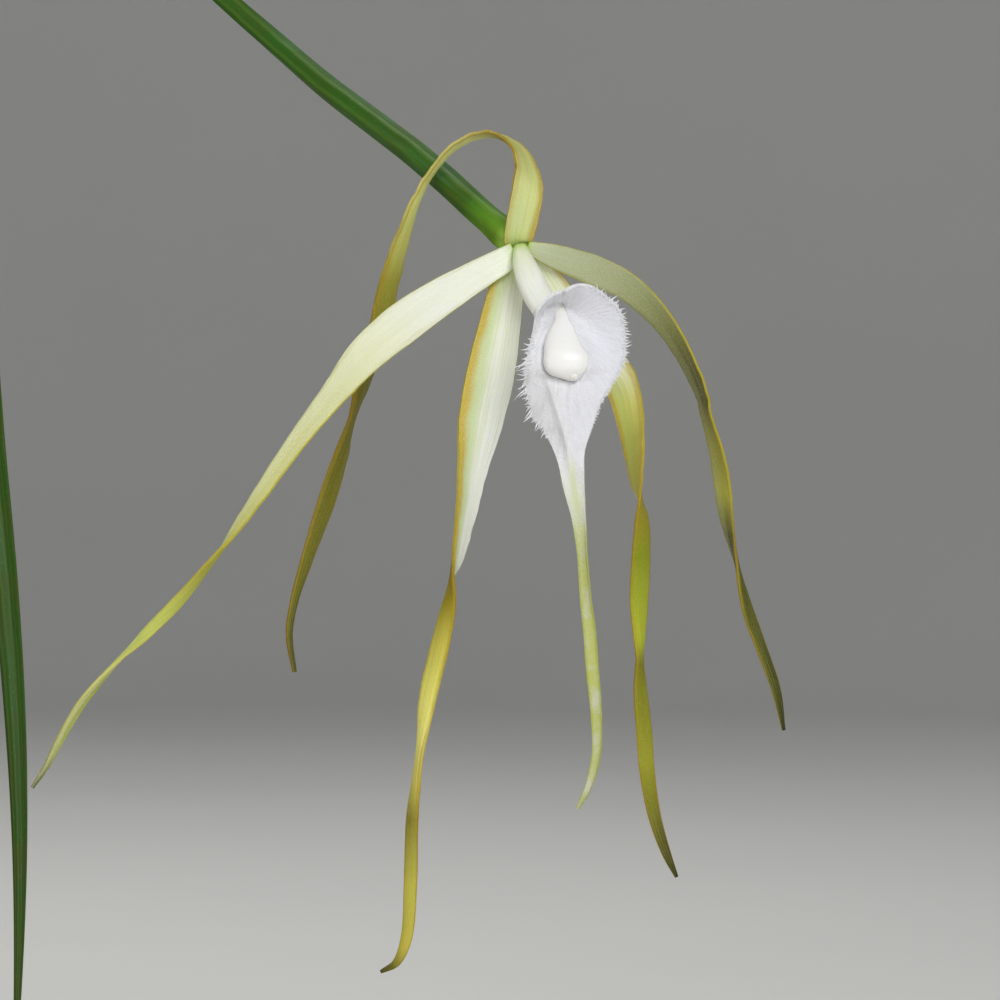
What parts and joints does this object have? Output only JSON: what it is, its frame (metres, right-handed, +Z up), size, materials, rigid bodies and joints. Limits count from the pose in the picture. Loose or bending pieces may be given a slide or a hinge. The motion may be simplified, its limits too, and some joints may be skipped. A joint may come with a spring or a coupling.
{
  "type": "potted brassavola cucullata",
  "caption": "Potted orchid with thin hanging rod-like leaves and one pale spidery flower with a fringed, long-tailed lip, on a long arching stalk.",
  "frame": {"origin": "centre of the pot's flat underside, on the surface that the pot stands on", "axes": "+Z up along the pot's axis; -Y towards the viewer whom the flower faces; +X towards the side where the flower hangs, along the longest extent"},
  "size_m": [0.3121, 0.2019, 0.2534],
  "materials": {
    "terracotta": "matt, slightly chalky fired clay",
    "bark": "rough, dry",
    "rhizome_bark": "rough, brown-green",
    "root_velamen": "matt, silvery",
    "stem_green": "satin",
    "papery_sheath": "matt, papery",
    "leaf_green": "satin",
    "stalk_green": "satin",
    "sepal": "soft satin, pale green to gold",
    "petal": "soft satin, white to yellow-green",
    "lip": "velvety white",
    "column": "smooth waxy white",
    "anther_cap": "smooth cream"
  },
  "bodies": {
    "root": {"pot": "terracotta", "potting_bark": "bark", "rhizome": "rhizome_bark", "aerial_root_1": "root_velamen", "aerial_root_2": "root_velamen", "aerial_root_3": "root_velamen", "stem_1": "stem_green", "stem_2": "stem_green", "stem_3": "stem_green", "stem_4": "stem_green", "stem_5": "stem_green", "stem_6": "stem_green", "stem_7": "stem_green", "stem_sheaths_1": "papery_sheath", "stem_sheaths_2": "papery_sheath", "stem_sheaths_3": "papery_sheath", "stem_sheaths_4": "papery_sheath", "stem_sheaths_5": "papery_sheath", "stem_sheaths_6": "papery_sheath", "stem_sheaths_7": "papery_sheath", "leaf_1": "leaf_green", "leaf_2": "leaf_green", "leaf_3": "leaf_green", "leaf_4": "leaf_green", "leaf_5": "leaf_green", "leaf_6": "leaf_green", "leaf_7": "leaf_green", "peduncle": "stalk_green", "floral_bract": "papery_sheath", "pedicel_ovary": "stalk_green", "dorsal_sepal": "sepal", "lateral_sepal_left": "sepal", "lateral_sepal_right": "sepal", "petal_left": "petal", "petal_right": "petal", "lip": "lip", "column": "column", "anther_cap": "anther_cap"}
  },
  "joints": []
}
